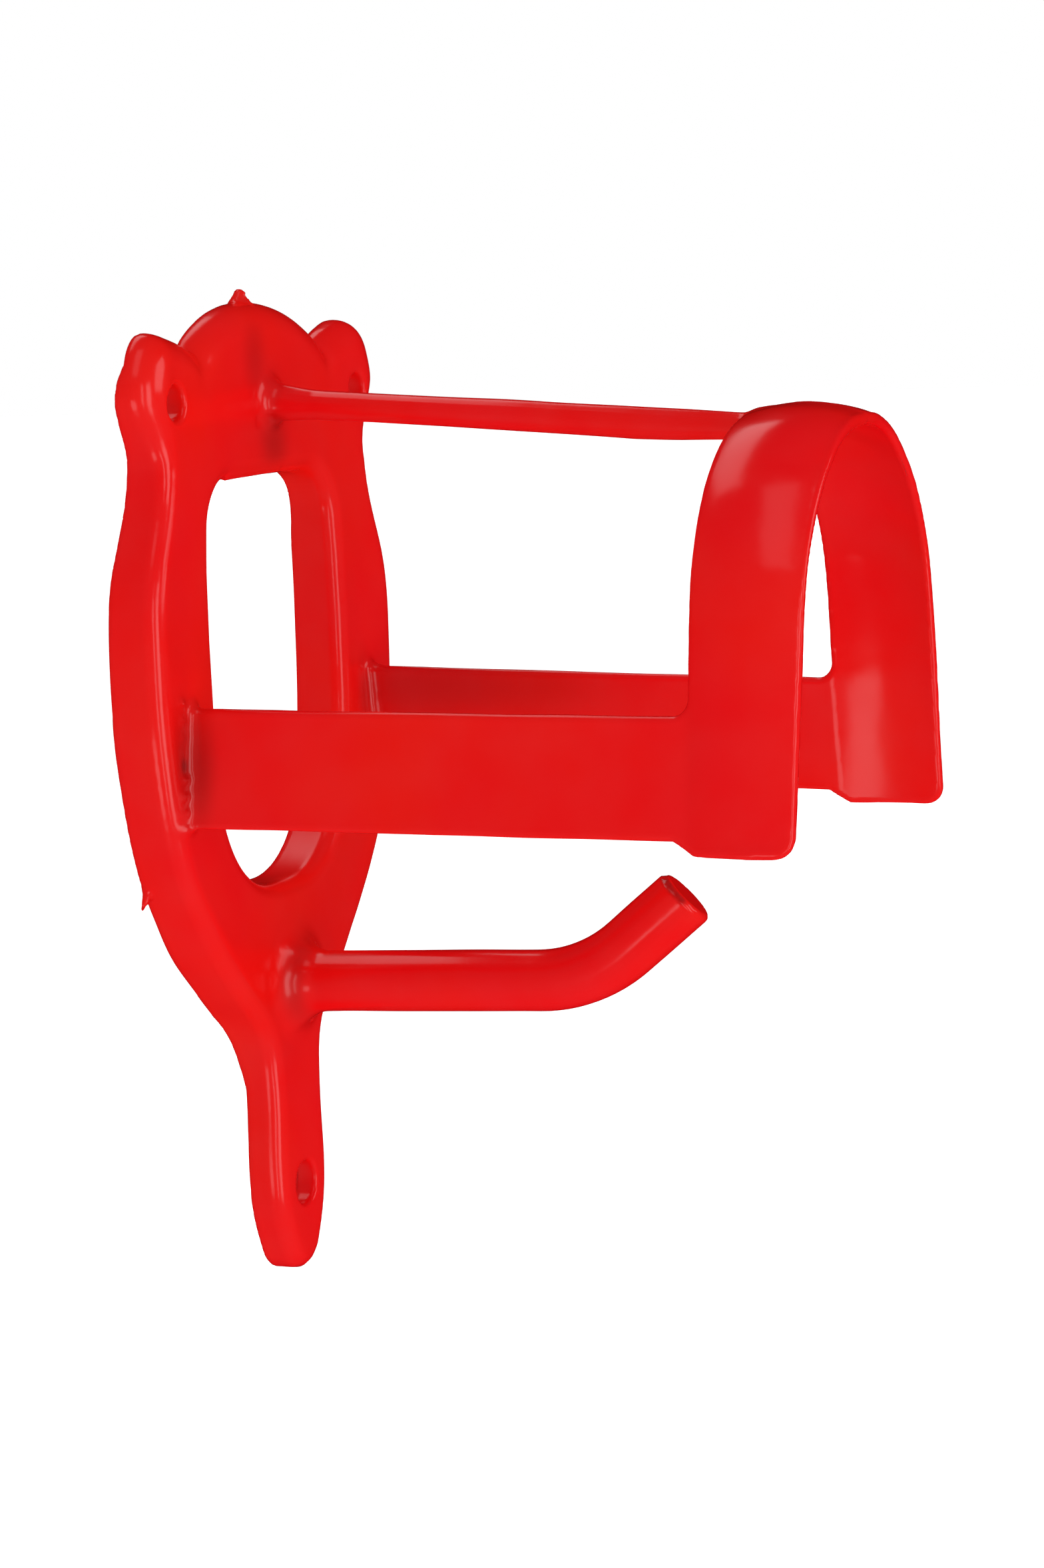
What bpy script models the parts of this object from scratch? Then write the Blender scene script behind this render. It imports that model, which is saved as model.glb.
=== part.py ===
"""Wall-mounted bridle rack with a hook: pressed, bent and welded mild steel, dipped in red vinyl.

Heights are worked out above the plate's lower tip. The row's origin is the point of the slot's lower rim that
touches the wall, so everything hangs under one empty that lowers it by that height. +X is to the right seen
from the room, +Y points into the wall and +Z is up.
"""

import math

import bmesh
import bpy
from mathutils import Matrix, Vector
from mathutils.geometry import interpolate_bezier, tessellate_polygon

MM = 0.001

# Stock: sheet and bars are bare sizes, the coat lies on every side of them.
SHEET = 1.2 * MM
COAT = 0.6 * MM
HOOK_BAR_RADIUS = 6.35 * MM
STAY_BAR_RADIUS = 2.5 * MM
SHELL = SHEET + 2 * COAT

GAP = 0.3 * MM
LINING_GAP = 0.15 * MM  # between the steel and the coat that is shrunk onto it
SINK = 1.2 * MM  # how far coated pieces run into each other, so that their skins join
PAST = 6.0 * MM  # how far a cutter runs past what it cuts
HALF_SPAN = 100.0 * MM  # half of a cutter's width where it crosses the whole rack
FLAT_WITHIN = math.radians(0.1)  # faces that meet at less than this become one

# Wall plate, coated.
PLATE_DEPTH = 12.7 * MM
PLATE_EDGE = [(184.0 * MM, 4.0 * MM), (200.0 * MM, 6.0 * MM)]  # (height, the front edge's radius)
DOME_TOP = 222.0 * MM
DOME_RADIUS = 54.7 * MM
VALLEY_X = 29.9 * MM
SLOT_FLOOR = 90.0 * MM
SLOT_CEILING = 183.2 * MM
SLOT_HALF_WIDTH = 31.7 * MM
SLOT_FLOOR_RADIUS = 26.6 * MM
SLOT_CORNER = 11.8 * MM
EAR_HOLE = (44.6 * MM, 200.8 * MM, 4.0 * MM)
TAIL_HOLE = (0.0, 20.5 * MM, 5.0 * MM)
LIP_DEPTH = 5.4 * MM
EDGE_STEPS = 3  # flat strips round the front edge
FLANGE_LIFT = [  # (height, how far the flange's rear edge stops short of the wall)
    (44.0 * MM, 4.2 * MM),
    (62.0 * MM, 0.0),
    (130.0 * MM, 0.0),
    (165.0 * MM, 0.8 * MM),
    (186.0 * MM, 2.3 * MM),
    (200.0 * MM, 3.6 * MM),
    (207.0 * MM, 5.0 * MM),
    (212.0 * MM, 5.4 * MM),
    (222.0 * MM, 4.6 * MM),
]

# Cradle, coated: one blank, an arch with an arm running back from each leg. First the arch's outer face at
# its rear edge, seen from the room, from the crown down one side.
ARCH_FACE = [
    (0.0, 194.3 * MM),
    (9.5 * MM, 193.3 * MM),
    (19.5 * MM, 189.8 * MM),
    (29.0 * MM, 182.8 * MM),
    (36.2 * MM, 173.8 * MM),
    (40.9 * MM, 164.5 * MM),
    (43.2 * MM, 155.0 * MM),
    (45.5 * MM, 135.0 * MM),
    (50.2 * MM, 99.0 * MM),
]
BAND_CROWN = [(105.0 * MM, 1.2 * MM), (150.0 * MM, 2.0 * MM)]  # (height, how far its middle stands out)
BAND_CLOSING = [(138.0 * MM, 0.0), (165.0 * MM, 1.5 * MM), (184.0 * MM, 1.8 * MM), (194.0 * MM, 0.8 * MM)]
ARM_TOP = 135.0 * MM
ARM_HEIGHT = 25.7 * MM
ARM_SPLAY = math.radians(7.4)
ARM_DROOP = math.radians(1.0)
BAND_REAR = 128.9 * MM  # from the wall
BAND_FRONT = 153.1 * MM
BAND_TOP_LEAN = 1.2 * MM
LEG_DROP = 2.4 * MM  # from the arm's lower edge, carried on to the band's front, down to the leg's end
LEG_CORNER = 4.0 * MM
STEP_REACH = 2.4 * MM  # of the chamfered step, each way from the band's rear edge
NOTCH_RADIUS = 2.5 * MM  # between the arm's upper edge and the band

# Rods: heights of their centre lines.
STAY_HEIGHT = 199.4 * MM
STAY_FALL = math.radians(4.3)
HOOK_HEIGHT = 67.3 * MM
HOOK_RISE = math.radians(1.7)
HOOK_KNEE = 73.0 * MM  # from the plate's face to where the two centre lines cross
HOOK_TIP = 29.2 * MM
HOOK_TIP_RISE = math.radians(39.5)
HOOK_BEND_RADIUS = 30.0 * MM

# Weld beads, bare. An arm's reaches as far along each surface, a rod's is (height above it, length along it).
ARM_BEAD_LEG = 2.6 * MM
ARM_BEAD_LENGTH = 21.0 * MM
HOOK_BEAD = (4.5 * MM, 4.5 * MM)
STAY_BEAD = (2.8 * MM, 2.8 * MM)
STAY_END_BEAD = (1.0 * MM, 6.0 * MM)
BEAD_ROOT = 0.36 * MM  # how far a bead's skin runs into the two sheets that it joins

HANGING_HOLE_RADIUS = 0.6 * MM  # left by the wire that held the rack in the dip

WALL_POINT = SLOT_FLOOR - SHELL / 2
FRONT = -PLATE_DEPTH

# Planes that flat outlines are drawn in: which way their x, their y and their thickness point.
FACING_ROOM = Matrix(((1, 0, 0, 0), (0, 0, -1, 0), (0, 1, 0, 0), (0, 0, 0, 1)))
FACING_WALL = Matrix(((-1, 0, 0, 0), (0, 0, 1, 0), (0, 1, 0, 0), (0, 0, 0, 1)))
FACING_SIDE = Matrix(((0, 0, 1, 0), (1, 0, 0, 0), (0, 1, 0, 0), (0, 0, 0, 1)))


def clear_scene():
    for item in list(bpy.data.objects):
        bpy.data.objects.remove(item, do_unlink=True)


def make_material(name, colour, roughness, metallic):
    material = bpy.data.materials.new(name)
    material.use_nodes = True
    shader = material.node_tree.nodes["Principled BSDF"]
    shader.inputs["Base Color"].default_value = (*colour, 1.0)
    shader.inputs["Roughness"].default_value = roughness
    shader.inputs["Metallic"].default_value = metallic
    material.diffuse_color = (*colour, 1.0)
    return material


# Flat outlines


def arc(centre, radius, start, end, steps):
    """Points on a circle, from one angle in degrees to another, both ends included."""
    angles = [math.radians(start + (end - start) * i / steps) for i in range(steps + 1)]
    return [Vector((centre[0] + radius * math.cos(a), centre[1] + radius * math.sin(a))) for a in angles]


def smooth(points, steps):
    """A smooth line through the points, with each handle parallel to the line between the two neighbours."""
    points = [Vector(p) for p in points]
    last = len(points) - 1
    slopes = [(points[min(i + 1, last)] - points[max(i - 1, 0)]).normalized() for i in range(last + 1)]
    line = []
    for i in range(last):
        reach = (points[i + 1] - points[i]).length / 3
        first_handle = points[i] + slopes[i] * reach
        second_handle = points[i + 1] - slopes[i + 1] * reach
        line += interpolate_bezier(points[i], first_handle, second_handle, points[i + 1], steps + 1)[:-1]
    return line + [points[last]]


def mirrored(half):
    """A closed loop from its right half, which runs from the centre line at the top to that at the bottom."""
    return half + [Vector((-p.x, p.y)) for p in reversed(half[1:-1])]


def inset(loop, distance):
    """A closed loop moved inwards by a distance, outwards by a negative one, or by one distance a point."""
    count = len(loop)
    distances = distance if isinstance(distance, list) else [distance] * count
    area = sum(loop[i - 1].x * loop[i].y - loop[i].x * loop[i - 1].y for i in range(count))
    turn = math.copysign(1.0, area)
    moved = []
    for i in range(count):
        before = (loop[i] - loop[i - 1]).normalized()
        after = (loop[(i + 1) % count] - loop[i]).normalized()
        inward = Vector((-before.y - after.y, before.x + after.x)) * turn
        moved.append(loop[i] + inward * (distances[i] * 2 / inward.length_squared))
    return moved


def rounded(corners, steps=4):
    """A closed loop through (x, y, radius) corners, with each corner that has a radius made round."""
    points = [Vector(corner[:2]) for corner in corners]
    loop = []
    for i, corner in enumerate(corners):
        radius = corner[2]
        if radius == 0:
            loop.append(points[i])
            continue
        back = (points[i - 1] - points[i]).normalized()
        on = (points[(i + 1) % len(points)] - points[i]).normalized()
        half_angle = back.angle(on) / 2
        centre = points[i] + (back + on).normalized() * (radius / math.sin(half_angle))
        start = points[i] + back * (radius / math.tan(half_angle)) - centre
        end = points[i] + on * (radius / math.tan(half_angle)) - centre
        loop += [centre + start.slerp(end, step / steps) * radius for step in range(steps + 1)]
    return loop


def plate_outline():
    """Dome, ears, waist, belly and tail, as one closed loop."""
    dome_angle = math.degrees(math.asin(VALLEY_X / DOME_RADIUS))
    dome = arc((0.0, DOME_TOP - DOME_RADIUS), DOME_RADIUS, 90.0, 90.0 - dome_angle, 5)
    dome_end = dome[-1]
    side = [
        (dome_end.x + 0.6 * MM, dome_end.y - 0.8 * MM),
        (39.2 * MM, 214.9 * MM),
        (47.6 * MM, 215.9 * MM),
        (53.4 * MM, 211.4 * MM),
        (56.0 * MM, 202.0 * MM),
        (49.3 * MM, 186.2 * MM),
        (57.0 * MM, 159.4 * MM),
        (57.8 * MM, 142.6 * MM),
        (56.4 * MM, 124.2 * MM),
        (50.2 * MM, 99.2 * MM),
        (40.3 * MM, 84.0 * MM),
        (25.5 * MM, 67.8 * MM),
        (14.6 * MM, 56.7 * MM),
        (11.9 * MM, 45.4 * MM),
        (11.9 * MM, 18.9 * MM),
        (7.4 * MM, 4.9 * MM),
        (3.6 * MM, 0.9 * MM),
        (0.0, 0.0),
    ]
    return mirrored(dome[:-1] + smooth(side, 3))


def slot_outline():
    """The tall window: rounded corners above, almost straight sides and a deep round floor."""
    top = arc(
        (SLOT_HALF_WIDTH - SLOT_CORNER - 1.0 * MM, SLOT_CEILING - SLOT_CORNER),
        SLOT_CORNER,
        90.0,
        0.0,
        4,
    )
    floor = arc(
        (SLOT_HALF_WIDTH - SLOT_FLOOR_RADIUS - 1.0 * MM, SLOT_FLOOR + SLOT_FLOOR_RADIUS),
        SLOT_FLOOR_RADIUS,
        0.0,
        -90.0,
        7,
    )
    bow = [Vector((SLOT_HALF_WIDTH, (SLOT_FLOOR + SLOT_CEILING) / 2 + 8.0 * MM))]
    centre_top = [Vector((0.0, SLOT_CEILING))]
    centre_floor = [Vector((0.0, SLOT_FLOOR))]
    return mirrored(centre_top + top + bow + floor + centre_floor)


def between(knots, height):
    """The value at a height, from (height, value) knots."""
    if height <= knots[0][0]:
        return knots[0][1]
    for (low, first), (high, second) in zip(knots, knots[1:]):
        if height <= high:
            return first + (second - first) * (height - low) / (high - low)
    return knots[-1][1]


def arch_section(skin, share):
    """The bent strip's section at a share of the band's width: its outer face, then its inner one back."""
    half = smooth(ARCH_FACE, 3)
    loop = half + [Vector((-point.x, point.y)) for point in reversed(half[1:])]
    stands_out = []
    for point in loop:
        crown = 4 * share * (1 - share) * between(BAND_CROWN, point.y)
        stands_out.append(crown - share * between(BAND_CLOSING, point.y))
    outer = inset(loop, [skin - out for out in stands_out])
    inner = inset(loop, [SHELL - skin - out for out in stands_out])
    outer = outer[len(half) :] + outer[: len(half)]
    inner = inner[len(half) :] + inner[: len(half)]
    return outer + inner[::-1]


def blank_outline(rear):
    """The cradle's blank from the side: arm, chamfered step, leg and band, with its rear end at a given y."""
    fall = math.tan(ARM_DROOP)

    def lower(height, distance):
        return height - (distance - PLATE_DEPTH) * fall

    arm_bottom = ARM_TOP - ARM_HEIGHT
    above = ARCH_FACE[0][1] + PAST
    step = BAND_REAR - STEP_REACH
    step_end = BAND_REAR + STEP_REACH
    leg_bottom = lower(arm_bottom, BAND_FRONT) - LEG_DROP
    return rounded(
        [
            (rear, ARM_TOP, 0.0),
            (rear, arm_bottom, 0.0),
            (-step, lower(arm_bottom, step), 0.0),
            (-step_end, leg_bottom, 0.0),
            (-BAND_FRONT, leg_bottom, LEG_CORNER),
            (-BAND_FRONT, ARM_TOP, 0.0),
            (-BAND_FRONT - BAND_TOP_LEAN, above, 0.0),
            (-BAND_REAR, above, 0.0),
            (-BAND_REAR, lower(ARM_TOP, BAND_REAR), NOTCH_RADIUS),
        ]
    )


# Solids


def mesh_object(name, mesh):
    made = bpy.data.objects.new(name, mesh)
    bpy.context.scene.collection.objects.link(made)
    return made


def finished(name, shape):
    """The bmesh as an object, with its doubled points welded and its flat faces made whole."""
    bmesh.ops.remove_doubles(shape, verts=shape.verts, dist=0.001 * MM)
    bmesh.ops.dissolve_limit(shape, angle_limit=FLAT_WITHIN, verts=shape.verts, edges=shape.edges)
    bmesh.ops.recalc_face_normals(shape, faces=shape.faces)
    mesh = bpy.data.meshes.new(name)
    shape.to_mesh(mesh)
    shape.free()
    return mesh_object(name, mesh)


def meshed(source, matrix=None):
    """The object's evaluated shape as a plain mesh object with its caps welded, moved by the matrix."""
    bpy.context.view_layer.update()
    graph = bpy.context.evaluated_depsgraph_get()
    mesh = bpy.data.meshes.new_from_object(source.evaluated_get(graph))
    name = source.name
    bpy.data.objects.remove(source, do_unlink=True)
    shape = bmesh.new()
    shape.from_mesh(mesh)
    made = finished(name, shape)
    if matrix is not None:
        made.data.transform(matrix)
    return made


def flat_solid(name, loop, plane, low, high):
    """A closed loop filled and thickened from low to high along the plane's third direction."""
    outline = bpy.data.curves.new(name, "CURVE")
    outline.dimensions = "2D"
    outline.fill_mode = "BOTH"
    outline.extrude = (high - low) / 2
    spline = outline.splines.new("POLY")
    spline.points.add(len(loop) - 1)
    for point, place in zip(spline.points, loop):
        point.co = (place.x, place.y, 0.0, 1.0)
    spline.use_cyclic_u = True
    middle = Matrix.Translation((0.0, 0.0, (low + high) / 2))
    return meshed(mesh_object(name, outline), plane @ middle)


def cylinder(name, radius, start, end, sides=16):
    """A round solid between two points."""
    start, end = Vector(start), Vector(end)
    shape = bmesh.new()
    bmesh.ops.create_cone(
        shape, cap_ends=True, segments=sides, radius1=radius, radius2=radius, depth=(end - start).length
    )
    mesh = bpy.data.meshes.new(name)
    shape.to_mesh(mesh)
    shape.free()
    turn = (end - start).to_track_quat("Z", "Y").to_matrix().to_4x4()
    mesh.transform(Matrix.Translation((start + end) / 2) @ turn)
    return mesh_object(name, mesh)


def bar(name, points, radius):
    """A round bar along the points, with flat ends."""
    curve = bpy.data.curves.new(name, "CURVE")
    curve.dimensions = "3D"
    curve.bevel_depth = radius
    curve.bevel_resolution = 4
    curve.use_fill_caps = True
    spline = curve.splines.new("POLY")
    spline.points.add(len(points) - 1)
    for point, place in zip(spline.points, points):
        point.co = (*place, 1.0)
    return meshed(mesh_object(name, curve))


def together(name, parts):
    """Separate solids as one mesh object."""
    shape = bmesh.new()
    for item in parts:
        shape.from_mesh(item.data)
        bpy.data.objects.remove(item, do_unlink=True)
    mesh = bpy.data.meshes.new(name)
    shape.to_mesh(mesh)
    shape.free()
    return mesh_object(name, mesh)


def combine(target, tool, operation):
    """Applies one Boolean to the target and removes the tool."""
    modifier = target.modifiers.new(operation.lower(), "BOOLEAN")
    modifier.operation = operation
    modifier.solver = "EXACT"
    modifier.object = tool
    bpy.context.view_layer.update()
    graph = bpy.context.evaluated_depsgraph_get()
    mesh = bpy.data.meshes.new_from_object(target.evaluated_get(graph))
    target.modifiers.clear()
    target.data = mesh
    bpy.data.objects.remove(tool, do_unlink=True)
    return target


def pressing(name, depth):
    """The plate as a slab with the slot through it and round front edges, a depth inside the coated faces."""
    shape = bmesh.new()
    front = FRONT + depth
    rims = []
    for loop, side in ((plate_outline(), 1), (slot_outline(), -1)):
        radii = [between(PLATE_EDGE, point.y) - depth for point in loop]
        rear = [shape.verts.new((point.x, PAST, point.y)) for point in inset(loop, side * depth)]
        for step in range(EDGE_STEPS + 1):
            angle = math.pi / 2 * step / EDGE_STEPS
            moved = inset(loop, [side * (depth + radius * (1 - math.cos(angle))) for radius in radii])
            ring = []
            for point, radius in zip(moved, radii):
                ring.append(shape.verts.new((point.x, front + radius * (1 - math.sin(angle)), point.y)))
            for i in range(len(ring)):
                shape.faces.new((rear[i - 1], rear[i], ring[i], ring[i - 1]))
            if step == 0:
                rims.append(rear)
            rear = ring
        rims.append(rear)
    for outer, inner in ((rims[0], rims[2]), (rims[1], rims[3])):
        corners = outer + inner
        for triangle in tessellate_polygon([[vert.co for vert in outer], [vert.co for vert in inner]]):
            shape.faces.new([corners[i] for i in triangle])
    return finished(name, shape)


def behind_flange(skin):
    """Everything behind the flange's rear edge, which steps away from the wall at the ears and the tail."""
    low, high = -PAST, DOME_TOP + PAST
    behind = 2 * PAST
    edge = [(-skin - lift, height) for height, lift in FLANGE_LIFT]
    side = [(edge[0][0], low), *edge, (edge[-1][0], high), (behind, high), (behind, low)]
    return flat_solid("behind_flange", [Vector(p) for p in side], FACING_SIDE, -HALF_SPAN, HALF_SPAN)


def screw_holes():
    """(x, z, radius) of each hole, coated."""
    x, z, radius = EAR_HOLE
    return [(-x, z, radius), (x, z, radius), TAIL_HOLE]


def plate_solid(name, skin):
    """The pressed plate, its flanges and its turned-in screw holes, a skin's depth inside the coated faces."""
    plate = pressing(name, skin)
    combine(plate, pressing("hollow", SHELL - skin), "DIFFERENCE")
    combine(plate, behind_flange(skin), "DIFFERENCE")
    lip_rear = FRONT + LIP_DEPTH - skin
    lips = []
    bores = []
    for x, z, radius in screw_holes():
        lips.append(cylinder("lip", radius + SHELL - skin, (x, FRONT + SHELL / 2, z), (x, lip_rear, z)))
        bores.append(cylinder("bore", radius + skin, (x, FRONT - PAST, z), (x, PAST, z)))
    combine(plate, together("lips", lips), "UNION")
    return combine(plate, together("bores", bores), "DIFFERENCE")


def strip_solid(name, skin):
    """The bent strip before it is cut to the blank: flat to the plate, and crowned across the band."""
    stations = [(PAST, 0.0), (-BAND_REAR + PAST, 0.0)]
    shares = [0.0, 0.25, 0.5, 0.75, 1.0, 1.3]
    stations += [(-BAND_REAR - share * (BAND_FRONT - BAND_REAR), share) for share in shares]
    shape = bmesh.new()
    rings = []
    for y, share in stations:
        rings.append([shape.verts.new((point.x, y, point.y)) for point in arch_section(skin, share)])
    for ring, following in zip(rings, rings[1:]):
        for i in range(len(ring)):
            shape.faces.new((ring[i - 1], ring[i], following[i], following[i - 1]))
    half = len(rings[0]) // 2
    for ring in (rings[0], rings[-1]):
        for i in range(half - 1):
            shape.faces.new((ring[i], ring[i + 1], ring[-2 - i], ring[-1 - i]))
    bmesh.ops.triangulate(shape, faces=shape.faces)
    bmesh.ops.dissolve_limit(shape, angle_limit=FLAT_WITHIN, verts=shape.verts, edges=shape.edges)
    bmesh.ops.triangulate(shape, faces=shape.faces)
    bmesh.ops.recalc_face_normals(shape, faces=shape.faces)
    mesh = bpy.data.meshes.new(name)
    shape.to_mesh(mesh)
    shape.free()
    return mesh_object(name, mesh)


def cradle_solid(name, skin, rear):
    """The bent blank: the strip cut to the blank's outline."""
    blank = flat_solid("blank", inset(blank_outline(rear), skin), FACING_SIDE, -HALF_SPAN, HALF_SPAN)
    return combine(strip_solid(name, skin), blank, "INTERSECT")


def stay_point(distance):
    """A point on the stay's centre line, a distance out from the plate's face."""
    return Vector((0.0, FRONT - distance * math.cos(STAY_FALL), STAY_HEIGHT - distance * math.sin(STAY_FALL)))


def stay_length():
    """From the plate's face to the rear edge of the band."""
    return (BAND_REAR - PLATE_DEPTH) / math.cos(STAY_FALL)


def stay_solid(name, radius, start, end):
    """The stay, between two distances from the plate's face."""
    return bar(name, [stay_point(start), stay_point(end)], radius)


def hook_solid(name, radius, start, past_tip):
    """The hook: a nearly level bar with its end bent up."""
    level = Vector((0.0, -math.cos(HOOK_RISE), math.sin(HOOK_RISE)))
    upward = Vector((0.0, -math.cos(HOOK_TIP_RISE), math.sin(HOOK_TIP_RISE)))
    root = Vector((0.0, FRONT, HOOK_HEIGHT))
    knee = root + level * HOOK_KNEE
    bend = HOOK_TIP_RISE - HOOK_RISE
    tangent = HOOK_BEND_RADIUS * math.tan(bend / 2)
    side = Vector((0.0, math.sin(HOOK_RISE), math.cos(HOOK_RISE)))
    centre = knee - level * tangent + side * HOOK_BEND_RADIUS
    steps = 5
    points = [root + level * start]
    for i in range(steps + 1):
        turn = Matrix.Rotation(-bend * i / steps, 3, "X")
        points.append(centre - turn @ side * HOOK_BEND_RADIUS)
    points.append(knee + upward * (HOOK_TIP + past_tip))
    return bar(name, points, radius)


def weld_cone(name, radius, bead, base, plane):
    """A solid cone of weld round a bar. It starts under the face at its base and ends inside the bar."""
    height, length = bead
    slope = height / length
    start = -SINK
    end = length + SINK / slope
    shape = bmesh.new()
    bmesh.ops.create_cone(
        shape,
        cap_ends=True,
        segments=16,
        radius1=radius + height - slope * start,
        radius2=radius - SINK,
        depth=end - start,
    )
    mesh = bpy.data.meshes.new(name)
    shape.to_mesh(mesh)
    shape.free()
    mesh.transform(Matrix.Translation(base) @ plane @ Matrix.Translation((0.0, 0.0, (start + end) / 2)))
    return mesh_object(name, mesh)


def weld_ring(name, bar_radius, bead, base, plane):
    """The same weld as its own piece: a ring that clears the bar, the bare face behind it and the coat."""
    height, length = bead
    slope = height / length
    bore = bar_radius + GAP
    seat = GAP - COAT
    tip = (height - 3 * GAP) / slope
    profile = [(bore, tip), (bore, seat), (bar_radius + height - GAP - slope * seat, seat), (bore + GAP, tip)]
    mesh = bpy.data.meshes.new(name)
    shape = bmesh.new()
    ring = [shape.verts.new((x, 0.0, z)) for x, z in profile]
    for i in range(len(ring)):
        shape.edges.new((ring[i - 1], ring[i]))
    shape.to_mesh(mesh)
    shape.free()
    made = mesh_object(name, mesh)
    screw = made.modifiers.new("turn", "SCREW")
    screw.steps = screw.render_steps = 16
    screw.use_merge_vertices = True
    screw.merge_threshold = 0.0001
    return meshed(made, Matrix.Translation(base) @ plane)


def rod_welds(make, grow, names):
    """The three welds round the rods, each made by the given function."""
    hook_root = Vector((0.0, FRONT, HOOK_HEIGHT))
    hook_radius = HOOK_BAR_RADIUS + grow
    stay_radius = STAY_BAR_RADIUS + grow
    return [
        make(names[0], hook_radius, HOOK_BEAD, hook_root, FACING_ROOM),
        make(names[1], stay_radius, STAY_BEAD, stay_point(0.0), FACING_ROOM),
        make(names[2], stay_radius, STAY_END_BEAD, stay_point(stay_length()), FACING_WALL),
    ]


def arm_bead(name, side, face, corner, reach):
    """A fillet between an arm and the plate. side is +1 right or -1 left, face is +1 outside or -1 inside."""
    middle = ARM_TOP - ARM_HEIGHT / 2
    (top_x, top), (foot_x, foot) = ARCH_FACE[-2:]
    outer_x = top_x + (foot_x - top_x) * (top - middle) / (top - foot)
    across = Vector((side * math.cos(ARM_SPLAY), 0.0, math.sin(ARM_SPLAY)))
    along = Vector((side * math.sin(ARM_SPLAY), 0.0, -math.cos(ARM_SPLAY)))
    sheet_middle = Vector((side * outer_x, FRONT + COAT, middle)) - across * SHELL / 2
    origin = sheet_middle + across * (face * SHEET / 2)
    out = Vector((0.0, -1.0, 0.0))
    triangle = [Vector((corner, corner)), Vector((reach - corner, corner)), Vector((corner, reach - corner))]
    half = ARM_BEAD_LENGTH / 2 + (reach - ARM_BEAD_LEG)
    axes = Matrix((across * face, out, along)).transposed().to_4x4()
    bead = flat_solid(name, triangle, Matrix.Translation(origin) @ axes, -half, half)
    if axes.determinant() < 0:
        bead.data.flip_normals()
    return bead


def steel_bodies(skin):
    """Every steel piece but the plate, grown by how far the skin lies above it."""
    grow = COAT - skin
    bodies = [
        cradle_solid("cradle_skin", skin, FRONT + SINK),
        stay_solid("stay_skin", STAY_BAR_RADIUS + grow, -SINK, stay_length() + SINK + grow),
        hook_solid("hook_skin", HOOK_BAR_RADIUS + grow, -SINK, grow),
        *rod_welds(weld_cone, grow, ("hook_weld_skin", "stay_weld_skin", "stay_end_weld_skin")),
    ]
    reach = ARM_BEAD_LEG + grow * math.sqrt(2)
    for side in (-1, 1):
        for face in (-1, 1):
            bodies.append(arm_bead("bead_skin", side, face, -BEAD_ROOT, reach))
    return bodies


def joined(skin):
    """The whole welded rack as one solid, its surfaces a skin's depth under the coat's outer face."""
    whole = plate_solid("whole", skin)
    for body in steel_bodies(skin):
        combine(whole, body, "UNION")
    return whole


def coat_solid():
    """The vinyl: the coated rack less the steel, with the pinhole left where it hung in the dip."""
    coat = joined(0.0)
    coat.name = "vinyl_coat"
    combine(coat, joined(COAT - LINING_GAP), "DIFFERENCE")
    hole_y = FRONT / 2
    start = (0.0, hole_y, DOME_TOP - SHELL / 2)
    end = (0.0, hole_y, DOME_TOP + PAST)
    pin = cylinder("pin", HANGING_HOLE_RADIUS, start, end, sides=8)
    return combine(coat, pin, "DIFFERENCE")


def build():
    clear_scene()
    collection = bpy.data.collections.new("bridle_rack")
    bpy.context.scene.collection.children.link(collection)
    steel = make_material("mild_steel", (0.42, 0.43, 0.45), 0.45, 1.0)
    weld = make_material("weld_metal", (0.33, 0.33, 0.35), 0.55, 1.0)
    vinyl = make_material("red_vinyl", (0.76, 0.004, 0.008), 0.28, 0.0)

    pieces = [
        (plate_solid("wall_plate", COAT), steel),
        (cradle_solid("cradle", COAT, FRONT + 2 * COAT - GAP), steel),
        (stay_solid("stay_rod", STAY_BAR_RADIUS, GAP - COAT, stay_length() + COAT - GAP), steel),
        (hook_solid("hook_rod", HOOK_BAR_RADIUS, GAP - COAT, 0.0), steel),
        (coat_solid(), vinyl),
    ]
    for piece in rod_welds(weld_ring, 0.0, ("hook_weld", "stay_weld", "stay_end_weld")):
        pieces.append((piece, weld))
    for side, hand in ((-1, "left"), (1, "right")):
        for face, where in ((-1, "inner"), (1, "outer")):
            pieces.append((arm_bead(f"arm_weld_{hand}_{where}", side, face, GAP, ARM_BEAD_LEG), weld))

    hanger = bpy.data.objects.new("wall_point", None)
    hanger.location = (0.0, 0.0, -WALL_POINT)
    collection.objects.link(hanger)
    for piece, material in pieces:
        piece.parent = hanger
        piece.data.materials.clear()
        piece.data.materials.append(material)
        piece.data.shade_smooth()
        piece.data.set_sharp_from_angle(angle=math.radians(30))
        for home in list(piece.users_collection):
            home.objects.unlink(piece)
        collection.objects.link(piece)


build()
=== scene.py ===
"""The bridle rack as it looks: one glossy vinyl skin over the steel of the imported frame.

The skin is worked out as a distance field, because a dip runs every corner and weld together into one
smooth surface. Its lengths are in millimetres and its heights are above the plate's lower tip, as in the
part's own source. The steel nodes stay in place under it, and every side of them has to stay covered.
"""

import math

import bpy
import numpy as np
from mathutils import Matrix, Vector


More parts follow.
